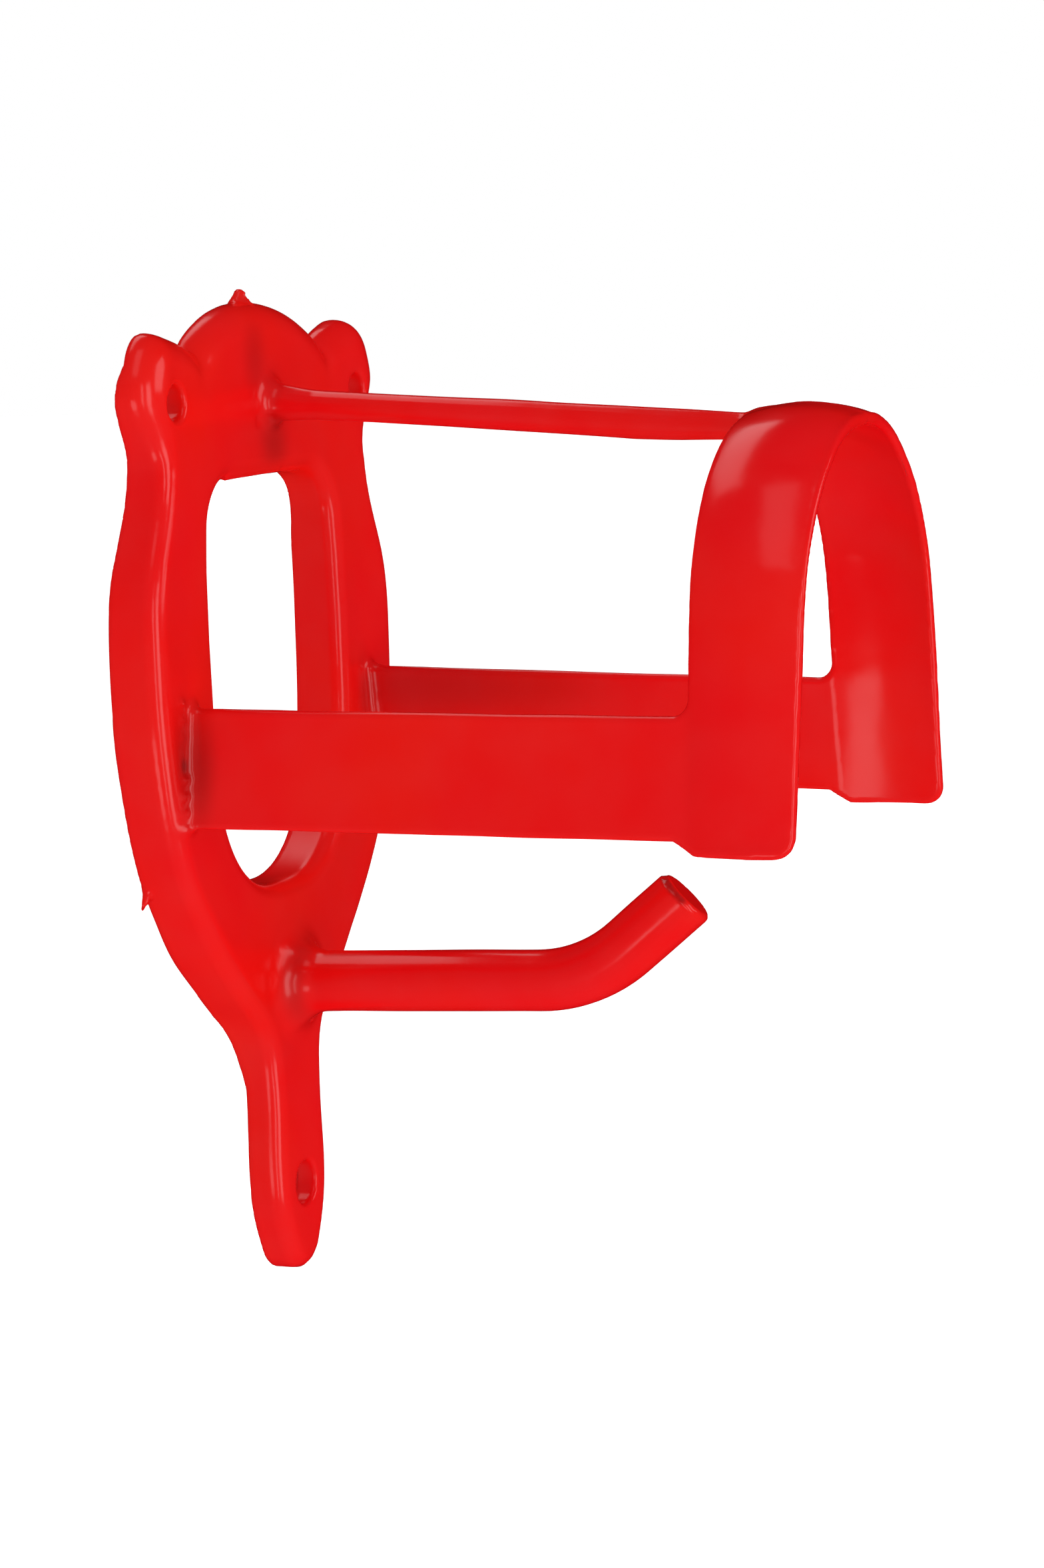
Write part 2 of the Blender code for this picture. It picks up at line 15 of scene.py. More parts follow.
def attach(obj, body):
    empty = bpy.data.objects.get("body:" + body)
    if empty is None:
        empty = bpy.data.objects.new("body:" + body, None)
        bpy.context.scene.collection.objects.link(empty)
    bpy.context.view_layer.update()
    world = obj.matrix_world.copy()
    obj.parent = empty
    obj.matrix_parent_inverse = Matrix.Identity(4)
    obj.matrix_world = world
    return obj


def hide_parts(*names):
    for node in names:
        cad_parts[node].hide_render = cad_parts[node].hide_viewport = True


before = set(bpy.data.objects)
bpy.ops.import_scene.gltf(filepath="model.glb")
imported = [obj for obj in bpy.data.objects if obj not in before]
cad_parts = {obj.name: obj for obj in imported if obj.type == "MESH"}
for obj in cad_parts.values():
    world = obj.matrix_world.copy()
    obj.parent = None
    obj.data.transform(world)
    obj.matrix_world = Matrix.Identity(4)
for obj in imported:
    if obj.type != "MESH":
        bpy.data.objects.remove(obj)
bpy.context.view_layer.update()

MM = 0.001
WALL_POINT = 88.8  # height of the row's origin above the lower tip

# Sizes of the rack. Most are those of the part's source; the window sits a little off centre here.
SHELL = 2.4  # the plate's sheet with its coat on both sides
PLATE_DEPTH = 12.7
PLATE_EDGE = [(184.0, 4.0), (200.0, 6.8)]  # (height, the front edge's radius)
DOME_TOP = 222.0
DOME_RADIUS = 54.7
VALLEY_X = 29.9
SLOT_FLOOR = 90.4
SLOT_CEILING = 183.2
SLOT_HALF_WIDTH = 31.1
SLOT_SHIFT = -0.6
SLOT_FLOOR_RADIUS = 26.6
SLOT_CORNER = 11.8
SLOT_DRAW_IN = 1.0  # how far the corners' centres stand in, so that the sides bow outwards
SLOT_BOW = [(-0.25, 163.0), (0.1, 148.0), (-0.1, 131.0)]  # (how far past the half width, height)
SLOT_LINING = 1.3  # how much thicker the vinyl is round the slot
EAR_HOLE = (44.6, 200.8, 4.0)  # (x, height, radius)
TAIL_HOLE = (0.0, 20.5, 5.0)
LIP_DEPTH = 5.4  # how deep the screw holes' lips are turned in
LIP_FILLET = 1.0

# How far the flange's rear edge stands off the wall, as (height, distance)
FLANGE_LIFT = [
    (44.0, 3.9),
    (62.0, 0.0),
    (130.0, 0.0),
    (165.0, 0.5),
    (186.0, 1.9),
    (200.0, 3.1),
    (205.5, 4.0),
    (209.5, 5.2),
    (222.0, 4.2),
]

# The arch's outer face from its crown to its right foot, as (x, height)
ARCH_FACE = [
    (0.0, 194.3),
    (9.5, 193.3),
    (19.5, 189.8),
    (29.0, 182.8),
    (36.2, 173.8),
    (40.9, 164.5),
    (43.2, 155.0),
    (45.5, 135.0),
    (50.2, 99.0),
]
ARCH_RUN_ON = 40.0  # how far the arch's shape runs on below its feet
BAND_CROWN = [(105.0, 1.2), (150.0, 2.0)]  # (height, how far the middle of its width stands out)
BAND_CLOSING = [(138.0, 0.0), (165.0, 1.5), (184.0, 1.8), (194.0, 0.8)]  # (height, how far in)
ARM_TOP = 135.0
ARM_HEIGHT = 25.7
ARM_DROOP = math.radians(1.0)
BAND_REAR = 128.9
BAND_FRONT = 153.1
BAND_LEAN = [(-0.3, 107.0), (0.3, ARM_TOP), (1.5, 208.0)]  # (how far past BAND_FRONT, height)
LEG_DROP = 2.5  # how far the leg reaches below the arm
LEG_CORNER = 4.2
STEP_SETBACK = 2.9  # of the arm's bottom corner, behind the band's rear edge
STEP_RUN = 4.8  # length of the chamfer between the arm and the leg
NOTCH_RADIUS = 3.6  # between the arm's top and the leg
ARM_OVERLAP = 1.0  # how far the arms reach into the plate
FRONT = -PLATE_DEPTH

# How the dip rounds things off and lets them sag
RIM_ROUND = 0.9
MOUTH_ROUND = 0.9
HOOK_FILLET = 8.0
STAY_FILLET = [(-40.0, 2.6), (-12.0, 3.6)]  # (y, radius)
ARM_FILLET = 2.8
SLOW_RIPPLE = 0.07
QUICK_RIPPLE = 0.025
ARM_TWIST = 0.66  # how much higher the right arm's root sits, and how much lower the left one's
FAR_SAG = 0.7  # how much lower the right leg hangs
FAR_CLOSING = 0.8  # the right leg's share of the left one's closing

# The vinyl's colours, as linear red, green, blue and opacity
RED = (0.79, 0.0020, 0.0045, 1.0)
ORANGE_RED = (0.80, 0.0080, 0.0030, 1.0)
# The colour of the painted shade, which is mixed in where shade falls
PAINTED_SHADE_RED = (0.30, 0.0060, 0.0060, 1.0)

# The grid that the skin is drawn from
CELL = 0.8
BLOCK = 8  # cells along each edge of a block that is drawn only where the surface is near
MARGIN = 3.0  # how far the field may be off from a true distance
FIELD_STEP = 0.4  # of the flat fields that the solids are looked up in
CHUNK = 400_000  # points worked out at once
PROBE = 0.05  # how far away the slope of the field is felt
FAR_OFF = 1e9  # further than any distance in the field
TINY = 1e-9


# Outlines


def arc(centre, radius, start, end, steps):
    """Points on a circle, from one angle to another in degrees."""
    angles = np.radians(np.linspace(start, end, steps + 1))
    return [(centre[0] + radius * math.cos(a), centre[1] + radius * math.sin(a)) for a in angles]


def smooth(points, steps):
    """A smooth line through the points, with each handle parallel to the line between the two neighbours."""
    points = [Vector(p) for p in points]
    last = len(points) - 1
    slopes = [(points[min(i + 1, last)] - points[max(i - 1, 0)]).normalized() for i in range(last + 1)]
    line = []
    for i in range(last):
        reach = (points[i + 1] - points[i]).length / 3
        handles = (points[i] + slopes[i] * reach, points[i + 1] - slopes[i + 1] * reach)
        for t in np.linspace(0.0, 1.0, steps, endpoint=False):
            weights = ((1 - t) ** 3, 3 * t * (1 - t) ** 2, 3 * t * t * (1 - t), t**3)
            ends = (points[i], *handles, points[i + 1])
            line.append(tuple(sum((p * w for p, w in zip(ends, weights)), Vector((0.0, 0.0)))))
    return line + [tuple(points[last])]


def mirrored(half):
    """A closed outline from its right half, which starts and ends on the middle line."""
    return half + [(-x, y) for x, y in reversed(half[1:-1])]


def plate_outline():
    """A round dome, then a smooth line round the right ear, down the side and round the tail."""
    dome_angle = math.degrees(math.asin(VALLEY_X / DOME_RADIUS))
    dome = arc((0.0, DOME_TOP - DOME_RADIUS), DOME_RADIUS, 90.0, 90.0 - dome_angle, 16)
    side = [
        (dome[-1][0] + 0.6, dome[-1][1] - 0.8),
        (39.2, 214.9),
        (47.6, 215.9),
        (53.4, 211.4),
        (56.0, 202.0),
        (49.3, 186.2),
        (57.0, 159.4),
        (57.8, 142.6),
        (56.4, 124.2),
        (50.2, 99.2),
        (40.3, 84.0),
        (25.5, 67.8),
        (14.6, 56.7),
        (11.9, 45.4),
        (11.9, 18.9),
        (7.2, 4.9),
        (3.5, 1.3),
        (0.0, 0.3),
    ]
    return mirrored(dome[:-1] + smooth(side, 8))


def slot_outline():
    """The window, with a round floor and sides that bow outwards."""
    corner = (SLOT_HALF_WIDTH - SLOT_CORNER - SLOT_DRAW_IN, SLOT_CEILING - SLOT_CORNER)
    bowl = (SLOT_HALF_WIDTH - SLOT_FLOOR_RADIUS - SLOT_DRAW_IN, SLOT_FLOOR + SLOT_FLOOR_RADIUS)
    top = arc(corner, SLOT_CORNER, 90.0, 4.0, 10)
    floor = arc(bowl, SLOT_FLOOR_RADIUS, -2.0, -90.0, 20)
    bow = [(SLOT_HALF_WIDTH + out, height) for out, height in SLOT_BOW]
    return mirrored([(0.0, SLOT_CEILING)] + top + bow + floor + [(0.0, SLOT_FLOOR)])


def arch_outline():
    """The arch's outer face as a closed shape, with its feet run on past the arms."""
    half = smooth(ARCH_FACE, 8)
    (top_x, top), (foot_x, foot) = ARCH_FACE[-2:]
    half.append((foot_x + (foot_x - top_x) * ARCH_RUN_ON / (top - foot), foot - ARCH_RUN_ON))
    return half + [(-x, y) for x, y in reversed(half[1:])]


def blank_outline():
    """The cradle's blank seen from the side: arm, chamfered step, leg and band."""
    fall = math.tan(ARM_DROOP)

    def lower(height, distance):
        return height - (distance - PLATE_DEPTH) * fall

    arm_bottom = ARM_TOP - ARM_HEIGHT
    step = BAND_REAR - STEP_SETBACK
    leg_bottom = lower(arm_bottom, BAND_FRONT) - LEG_DROP
    rear = FRONT + ARM_OVERLAP
    front = [(-BAND_FRONT - out, height) for out, height in BAND_LEAN]
    above = front[-1][1]
    corner = arc((front[0][0] + LEG_CORNER, leg_bottom + LEG_CORNER), LEG_CORNER, 270.0, 180.0, 6)
    notch_centre = (-BAND_REAR + NOTCH_RADIUS, lower(ARM_TOP, BAND_REAR) + NOTCH_RADIUS)
    notch = arc(notch_centre, NOTCH_RADIUS, 180.0, 270.0, 8)
    return [
        (rear, ARM_TOP),
        (rear, arm_bottom),
        (-step, lower(arm_bottom, step)),
        (-step - STEP_RUN, leg_bottom),
        *corner,
        *front[1:],
        (-BAND_REAR, above),
        *notch,
    ]


# Flat distance fields, looked up by where a point falls


def line_distance(u, v, line, closed):
    """Distance from points to a line of straight stretches."""
    nearest = np.full(u.shape, FAR_OFF)
    count = len(line)
    for i in range(count if closed else count - 1):
        (ax, ay), (bx, by) = line[i], line[(i + 1) % count]
        ex, ey = bx - ax, by - ay
        t = np.clip(((u - ax) * ex + (v - ay) * ey) / max(ex * ex + ey * ey, TINY), 0.0, 1.0)
        nearest = np.minimum(nearest, (u - ax - t * ex) ** 2 + (v - ay - t * ey) ** 2)
    return np.sqrt(nearest)


def inside(u, v, loop):
    """Which points lie inside a closed loop."""
    crossed = np.zeros(u.shape, bool)
    for i in range(len(loop)):
        (ax, ay), (bx, by) = loop[i - 1], loop[i]
        if ay == by:
            continue
        crossed ^= ((ay > v) != (by > v)) & (u < (bx - ax) * (v - ay) / (by - ay) + ax)
    return crossed


class Field:
    """A flat distance field on a fine grid: negative inside a loop, or plain distance from an open line."""

    def __init__(self, line, closed, low, high):
        self.low = low
        counts = [int(math.ceil((h - l) / FIELD_STEP)) + 2 for l, h in zip(low, high)]
        u, v = np.meshgrid(*[l + FIELD_STEP * np.arange(n) for l, n in zip(low, counts)], indexing="ij")
        self.values = line_distance(u, v, line, closed)
        if closed:
            self.values = np.where(inside(u, v, line), -self.values, self.values)

    def at(self, u, v):
        """The distance at each point, from the four grid points round it."""
        rows, columns = self.values.shape
        s = np.clip((u - self.low[0]) / FIELD_STEP, 0.0, rows - 1.001)
        t = np.clip((v - self.low[1]) / FIELD_STEP, 0.0, columns - 1.001)
        i = s.astype(np.int32)
        j = t.astype(np.int32)
        s = s - i
        t = t - j
        low = self.values[i, j] * (1 - t) + self.values[i, j + 1] * t
        high = self.values[i + 1, j] * (1 - t) + self.values[i + 1, j + 1] * t
        return low * (1 - s) + high * s


SKIN_LOW = (-66.0, -163.0, -8.0)
SKIN_HIGH = (66.0, 6.0, 232.0)
FACE_LOW, FACE_HIGH = (SKIN_LOW[0], SKIN_LOW[2]), (SKIN_HIGH[0], SKIN_HIGH[2])
SIDE_LOW, SIDE_HIGH = (SKIN_LOW[1], SKIN_LOW[2]), (SKIN_HIGH[1], SKIN_HIGH[2])
OUTLINE = Field(plate_outline(), True, FACE_LOW, FACE_HIGH)
SLOT = Field(slot_outline(), True, FACE_LOW, FACE_HIGH)
ARCH = Field(arch_outline(), True, FACE_LOW, FACE_HIGH)
BLANK = Field(blank_outline(), True, SIDE_LOW, SIDE_HIGH)


# Ways to put solids together


def rounded_cut(a, b, radius):
    """What is inside both, with a round edge where their faces meet."""
    a = a + radius
    b = b + radius
    return np.minimum(np.maximum(a, b), 0.0) + np.hypot(np.maximum(a, 0.0), np.maximum(b, 0.0)) - radius


def filleted(a, b, radius):
    """Both together, with a round fillet where they meet."""
    reach = np.hypot(np.maximum(radius - a, 0.0), np.maximum(radius - b, 0.0))
    return np.maximum(radius, np.minimum(a, b)) - reach


def capsule(p, start, end, radius_start, radius_end):
    """A round bar with round ends that may taper."""
    start, end = np.array(start), np.array(end)
    along = end - start
    t = np.clip((p - start) @ along / (along @ along), 0.0, 1.0)
    gap = p - start - t[:, None] * along
    return np.sqrt((gap * gap).sum(1)) - (radius_start + (radius_end - radius_start) * t)


# The rack's solids


def knots(where, pairs):
    """The value at each place, from (place, value) knots."""
    places, values = zip(*pairs)
    return np.interp(where, places, values)


def bump_at(p, centre, reach):
    """1 at the centre, falling smoothly to nothing; reach is a length or one for each direction."""
    q = (p - np.array(centre)) / np.array(reach)
    return np.exp(-(q * q).sum(1))


# The stay's centre line from the plate to the arch, as (y, height), and its radius at each of those points
STAY_LINE = [
    (-12.7, 199.4),
    (-24.0, 198.5),
    (-38.4, 197.4),
    (-69.2, 195.1),
    (-100.8, 192.5),
    (-112.0, 191.8),
    (-123.9, 191.2),
    (-131.5, 190.8),
]
STAY_RADII = [4.4, 3.3, 3.15, 3.3, 3.5, 3.35, 3.0, 2.9]

HOOK_KNEE = 73.0  # from the plate to where the hook's two straight lines would meet
HOOK_TIP = 30.4  # from there to the middle of the cut end
HOOK_RISE = math.radians(1.7)
HOOK_TIP_RISE = math.radians(39.5)
HOOK_CUT_RISE = math.radians(44.5)
HOOK_CUT_SLANT = 0.2  # how much further the cut end reaches for each millimetre to the left
HOOK_BEND_RADIUS = 36.0
HOOK_RADIUS = 7.0
HOOK_ROOT = (FRONT, 67.3)  # (y, height)
HOOK_CUT_PAST_TIP = 0.4
HOOK_END_ROUND = 1.5
HOOK_CUT_ZONE = -85.0  # the cut counts only in front of this y
NOT_CUT = -20.0  # the distance given elsewhere, which is well inside


def hook_line():
    """Centre line of the hook in (y, z), from inside the plate to the cut end."""

    def moved(start, length, rise):
        return (start[0] - length * math.cos(rise), start[1] + length * math.sin(rise))

    knee = moved(HOOK_ROOT, HOOK_KNEE, HOOK_RISE)
    tangent = HOOK_BEND_RADIUS * math.tan((HOOK_TIP_RISE - HOOK_RISE) / 2)
    start = moved(knee, -tangent, HOOK_RISE)
    centre = moved(start, HOOK_BEND_RADIUS, HOOK_RISE + math.pi / 2)
    bend = [
        moved(centre, -HOOK_BEND_RADIUS, rise + math.pi / 2)
        for rise in np.linspace(HOOK_RISE, HOOK_TIP_RISE, 13)
    ]
    return [HOOK_ROOT, *bend, moved(knee, HOOK_TIP, HOOK_TIP_RISE)]


HOOK_LINE = hook_line()
HOOK = Field(HOOK_LINE, False, SIDE_LOW, SIDE_HIGH)


def hook(p):
    """The thick bar with its bend and its slanted cut end."""
    x, y, z = p[:, 0], p[:, 1], p[:, 2]
    bar = np.hypot(HOOK.at(y, z), x) - HOOK_RADIUS
    tip_y, tip_z = HOOK_LINE[-1]
    out = (y - tip_y) * -math.cos(HOOK_CUT_RISE) + (z - tip_z) * math.sin(HOOK_CUT_RISE)
    out = (out + HOOK_CUT_SLANT * x - HOOK_CUT_PAST_TIP) / math.hypot(1.0, HOOK_CUT_SLANT)
    beyond = np.where(y < HOOK_CUT_ZONE, out, NOT_CUT)
    return rounded_cut(bar, beyond, HOOK_END_ROUND)


def stay(p):
    """The thin bar, thicker where the vinyl has run."""
    solid = np.full(len(p), FAR_OFF)
    ends = zip(STAY_LINE, STAY_LINE[1:], STAY_RADII, STAY_RADII[1:])
    for start, end, first, last in ends:
        solid = np.minimum(solid, capsule(p, (0.0, *start), (0.0, *end), first, last))
    return solid


def cradle(p):
    """The bent blank: its band is crowned across its width and closes a little towards the front."""
    x, y, z = p[:, 0], p[:, 1], p[:, 2]
    share = np.clip((-BAND_REAR - y) / (BAND_FRONT - BAND_REAR), 0.0, 1.0)
    closing = share * knots(z, BAND_CLOSING) * np.where(x > 0.0, FAR_CLOSING, 1.0)
    out = 4 * share * (1 - share) * knots(z, BAND_CROWN) - closing
    strip = np.abs(ARCH.at(x, z) - out + SHELL / 2) - SHELL / 2
    back = np.clip((y + BAND_REAR) / (BAND_REAR - PLATE_DEPTH), 0.0, 1.0)
    twist = ARM_TWIST * x / ARCH_FACE[-2][0] * back
    sag = FAR_SAG * np.clip(x / ARCH_FACE[-2][0], 0.0, 1.0) * (1 - back)
    return rounded_cut(strip, BLANK.at(y, z - twist + sag), RIM_ROUND)


def ripple(p):
    """The slow unevenness of a dipped skin."""
    x, y, z = p[:, 0], p[:, 1], p[:, 2]
    slow = np.sin(x / 7.1 + 1.3) * np.sin(z / 8.3 + 0.4)
    slow = slow + np.sin(y / 9.7 + z / 13.1) * np.sin(x / 11.9 - y / 15.7)
    quick = np.sin(z / 2.9 + x / 4.3) * np.sin(y / 3.7 - x / 3.1 + 2.0)
    return SLOW_RIPPLE * slow + QUICK_RIPPLE * quick


# Where the vinyl is thicker (positive) or thinner: (centre, reach each way, millimetres)
SWELLS = [
    ((45.0, -8.0, 215.0), (10.0, 9.0, 7.0), 1.4),
    ((57.0, -8.0, 150.0), (8.0, 12.0, 40.0), 0.6),
    ((55.0, -6.0, 206.0), (6.0, 8.0, 8.0), 0.6),
    ((-56.0, -5.0, 118.0), (9.0, 9.0, 40.0), 0.4),
    ((-36.0, -5.0, 72.0), (10.0, 9.0, 22.0), 0.4),
    ((-35.0, -2.0, 77.0), (11.0, 8.0, 12.0), 0.7),
    ((-31.5, -13.0, 208.5), (2.4, 7.0, 4.0), -0.3),
    ((31.0, -13.0, 208.5), (2.4, 7.0, 4.0), -0.3),
    ((-47.5, -14.2, 203.0), (2.2, 3.0, 5.0), 0.45),
    ((4.5, -14.0, 205.0), (4.5, 4.0, 2.0), -0.5),
    ((0.5, -13.5, 203.5), (6.0, 5.0, 1.4), 0.35),
    ((-1.0, -15.0, 189.0), (12.0, 4.0, 5.0), -0.15),
    ((44.6, -116.0, 132.6), (4.0, 15.0, 3.0), 0.4),
    ((47.6, -23.0, 109.6), (3.0, 10.0, 3.0), 0.35),
    ((-44.6, -19.1, 134.3), (2.0, 4.0, 2.0), 0.12),
    ((-49.0, -14.5, 135.9), (1.4, 1.8, 1.0), 0.9),
    ((-49.2, -14.2, 132.2), (1.4, 1.5, 1.2), 0.9),
    ((-49.4, -14.4, 128.6), (1.3, 1.6, 1.1), 0.8),
    ((-49.9, -14.0, 119.4), (1.3, 1.5, 1.2), 0.8),
    ((-50.4, -14.4, 115.8), (1.4, 1.7, 1.3), 0.9),
    ((-50.6, -14.0, 112.2), (1.3, 1.5, 1.1), 0.7),
    ((-51.2, -14.5, 108.3), (1.6, 1.9, 1.2), 1.1),
    ((44.2, -14.0, 135.4), (1.2, 1.6, 1.2), 0.9),
    ((45.4, -14.0, 127.0), (1.2, 1.6, 1.6), 0.8),
    ((45.8, -14.0, 120.5), (1.2, 1.6, 1.4), 0.5),
    ((-49.5, -145.0, 104.5), (3.0, 9.0, 2.0), 0.5),
    ((-6.5, -15.0, 76.0), (4.0, 5.0, 2.0), 0.4),
    ((-5.0, -15.0, 58.0), (4.0, 5.0, 2.2), 0.5),
]

# Small lumps of vinyl that are let into the skin:
# (start, end, radius at the start, radius at the end, fillet)
LUMPS = [
    ((0.0, -4.9, 221.2), (0.2, -5.6, 223.7), 2.1, 1.2, 1.0),
    ((0.2, -5.6, 224.2), (0.4, -7.9, 224.4), 0.75, 0.22, 0.4),
    ((0.2, -6.6, 223.4), (0.6, -8.6, 221.4), 0.6, 0.4, 0.6),
    ((-47.0, -1.6, 95.6), (-49.1, -0.7, 90.8), 1.5, 0.4, 0.8),
    ((-19.5, -10.6, 183.9), (4.5, -10.8, 184.3), 1.05, 0.7, 0.7),
    ((-19.5, -10.6, 183.9), (-20.6, -10.8, 182.9), 0.8, 0.3, 0.4),
    ((0.0, -129.3, 190.2), (0.0, -128.2, 190.2), 3.4, 3.4, 0.8),
]

# Pits, as lumps that are taken away
PITS = [
    ((-6.5, -14.0, 195.3), (-3.4, -14.3, 195.6), 1.4, 1.0, 1.0),
    ((-49.8, -13.8, 121.0), (-49.5, -13.8, 124.4), 0.95, 0.9, 0.4),
    ((-50.6, -14.0, 114.0), (-50.5, -14.0, 114.6), 0.55, 0.55, 0.4),
    ((-49.4, -14.0, 130.4), (-49.4, -14.0, 130.8), 0.5, 0.5, 0.4),
]

# The crease round the rim of the hook's cut end: its angles go from the top towards the left
CREASE_RADIUS = 6.8
CREASE_ANGLES = [-14.0, 0.0, 14.0, 28.0, 42.0, 56.0, 70.0, 84.0, 98.0, 112.0]
CREASE_SIZES = [0.3, 0.5, 0.58, 0.62, 0.6, 0.58, 0.55, 0.5, 0.45, 0.3]
CREASE_BLEND = 0.3


def crease():
    """The crease in the rim of the hook's end, as pits."""
    tip_y, tip_z = HOOK_LINE[-1]
    rim = []
    for angle in np.radians(CREASE_ANGLES):
        up = CREASE_RADIUS * math.cos(angle)
        left = CREASE_RADIUS * math.sin(angle)
        out = left * HOOK_CUT_SLANT
        y = tip_y + up * math.sin(HOOK_CUT_RISE) - out * math.cos(HOOK_CUT_RISE)
        z = tip_z + up * math.cos(HOOK_CUT_RISE) + out * math.sin(HOOK_CUT_RISE)
        rim.append((-left, y, z))
    sizes = zip(CREASE_SIZES, CREASE_SIZES[1:])
    return [(start, end, *size, CREASE_BLEND) for start, end, size in zip(rim, rim[1:], sizes)]


def details(p, solid):
    """The dip's lumps, thick places and pits."""
    for centre, reach, height in SWELLS:
        solid = solid - height * bump_at(p, centre, reach)
    for start, end, first, last, blend in LUMPS:
        solid = filleted(solid, capsule(p, start, end, first, last), blend)
    for start, end, first, last, blend in PITS + crease():
        solid = rounded_cut(solid, -capsule(p, start, end, first, last), blend)
    return solid


def plate(p):
    """The pressed plate before its screw holes and its flange's rear edge: (outer body, hollow)."""
    x, y, z = p[:, 0], p[:, 1], p[:, 2]
    outside = OUTLINE.at(x, z)
    within_slot = -SLOT.at(x - SLOT_SHIFT, z)
    behind_front = FRONT - y
    edge = knots(z, PLATE_EDGE)
    body = rounded_cut(np.maximum(outside, within_slot), behind_front, edge)
    walls = np.maximum(outside, within_slot + SLOT_LINING) + SHELL
    hollow = rounded_cut(walls, behind_front + SHELL, edge - SHELL)
    return body, hollow


def skin(p):
    """Signed distance to the coated rack, for points as rows of x, y, z."""
    x, y, z = p[:, 0], p[:, 1], p[:, 2]
    solid, hollow = plate(p)
    solid = filleted(solid, hook(p), HOOK_FILLET)
    solid = filleted(solid, stay(p), knots(y, STAY_FILLET))
    solid = filleted(solid, cradle(p), ARM_FILLET)
    solid = np.maximum(solid, -hollow)
    holes = [(-EAR_HOLE[0], *EAR_HOLE[1:]), EAR_HOLE, TAIL_HOLE]
    for hx, hz, radius in holes:
        across = np.hypot(x - hx, z - hz)
        lip = np.maximum(across - radius - SHELL, np.abs(y - FRONT - LIP_DEPTH / 2) - LIP_DEPTH / 2)
        solid = np.where(FRONT - y < -SHELL / 2, filleted(solid, lip, LIP_FILLET), solid)
    solid = rounded_cut(solid, y + knots(z, FLANGE_LIFT), RIM_ROUND)
    for hx, hz, radius in holes:
        bore = radius - np.hypot(x - hx, z - hz)
        solid = rounded_cut(solid, bore, MOUTH_ROUND)
    return details(p, solid) + ripple(p)


# From the distance field to a mesh


def in_chunks(function, p):
    """The function's values for many points, a part of them at a time to save memory."""
    return np.concatenate([function(p[i : i + CHUNK]) for i in range(0, len(p), CHUNK)])


def sampled_grid(low, high):
    """The field's value at each point of a grid. Away from the surface only the sign is right."""
    counts = [int(math.ceil((h - l) / CELL / BLOCK)) for l, h in zip(low, high)]
    block_index = np.stack(np.meshgrid(*[np.arange(n) for n in counts], indexing="ij"), -1).reshape(-1, 3)
    low = np.array(low)
    centres = low + (block_index + 0.5) * BLOCK * CELL
    at_centre = in_chunks(skin, centres)
    coarse = at_centre.reshape(counts).astype(np.float32)
    grid = coarse.repeat(BLOCK, 0).repeat(BLOCK, 1).repeat(BLOCK, 2)
    near = np.abs(at_centre) < BLOCK * CELL * math.sqrt(3) / 2 + MARGIN
    offsets = np.stack(np.meshgrid(*[np.arange(BLOCK)] * 3, indexing="ij"), -1).reshape(-1, 3)
    index = (block_index[near][:, None, :] * BLOCK + offsets[None]).reshape(-1, 3)
    grid[index[:, 0], index[:, 1], index[:, 2]] = in_chunks(skin, low + index * CELL)
    return grid


def surface_net(grid, low):
    """One vertex in each cell that the surface crosses, and one four-sided face across each crossed edge."""
    within = grid < 0
    shape = np.array(grid.shape) - 1
    corners = np.stack(np.meshgrid(*[(0, 1)] * 3, indexing="ij"), -1).reshape(-1, 3)
    count = np.zeros(shape, np.int8)
    for a, b, c in corners:
        count += within[a : a + shape[0], b : b + shape[1], c : c + shape[2]]
    cells = np.argwhere((count > 0) & (count < 8))
    numbers = np.full(shape, -1, np.int32)
    numbers[tuple(cells.T)] = np.arange(len(cells))
    values = np.stack([grid[tuple((cells + c).T)] for c in corners], 1).astype(float)
    total = np.zeros((len(cells), 3))
    crossings = np.zeros(len(cells))
    for i in range(8):
        for j in range(i + 1, 8):
            step = corners[j] - corners[i]
            if np.abs(step).sum() != 1:
                continue
            crossed = (values[:, i] < 0) != (values[:, j] < 0)
            t = values[crossed, i] / (values[crossed, i] - values[crossed, j])
            total[crossed] += corners[i] + t[:, None] * step
            crossings[crossed] += 1
    points = np.array(low) + (cells + total / crossings[:, None]) * CELL
    faces = []
    for axis in range(3):
        second, third = (axis + 1) % 3, (axis + 2) % 3
        ahead = np.roll(within, -1, axis)
        changed = within != ahead
        changed[tuple(slice(-1, None) if a == axis else slice(None) for a in range(3))] = False
        edge = np.argwhere(changed)
        edge = edge[(edge[:, second] > 0) & (edge[:, third] > 0)]
        ring = []
        for du, dv in ((-1, -1), (0, -1), (0, 0), (-1, 0)):
            cell = edge.copy()
            cell[:, second] += du
            cell[:, third] += dv
            ring.append(numbers[tuple(cell.T)])
        ring = np.stack(ring, 1)
        leaving = within[tuple(edge.T)]
        ring[~leaving] = ring[~leaving][:, ::-1]
        faces.append(ring)
    return points, np.concatenate(faces)


def onto_surface(points):
    """Moves each vertex straight onto the surface."""
    probes = np.array([(1, -1, -1), (-1, -1, 1), (-1, 1, -1), (1, 1, 1)], float)
    for _ in range(3):
        slope = sum(probe * in_chunks(skin, points + probe * PROBE)[:, None] for probe in probes)
        slope /= np.maximum(np.linalg.norm(slope, axis=1), TINY)[:, None]
        step = np.clip(in_chunks(skin, points), -CELL / 2, CELL / 2)
        points = points - slope * step[:, None]
    return points


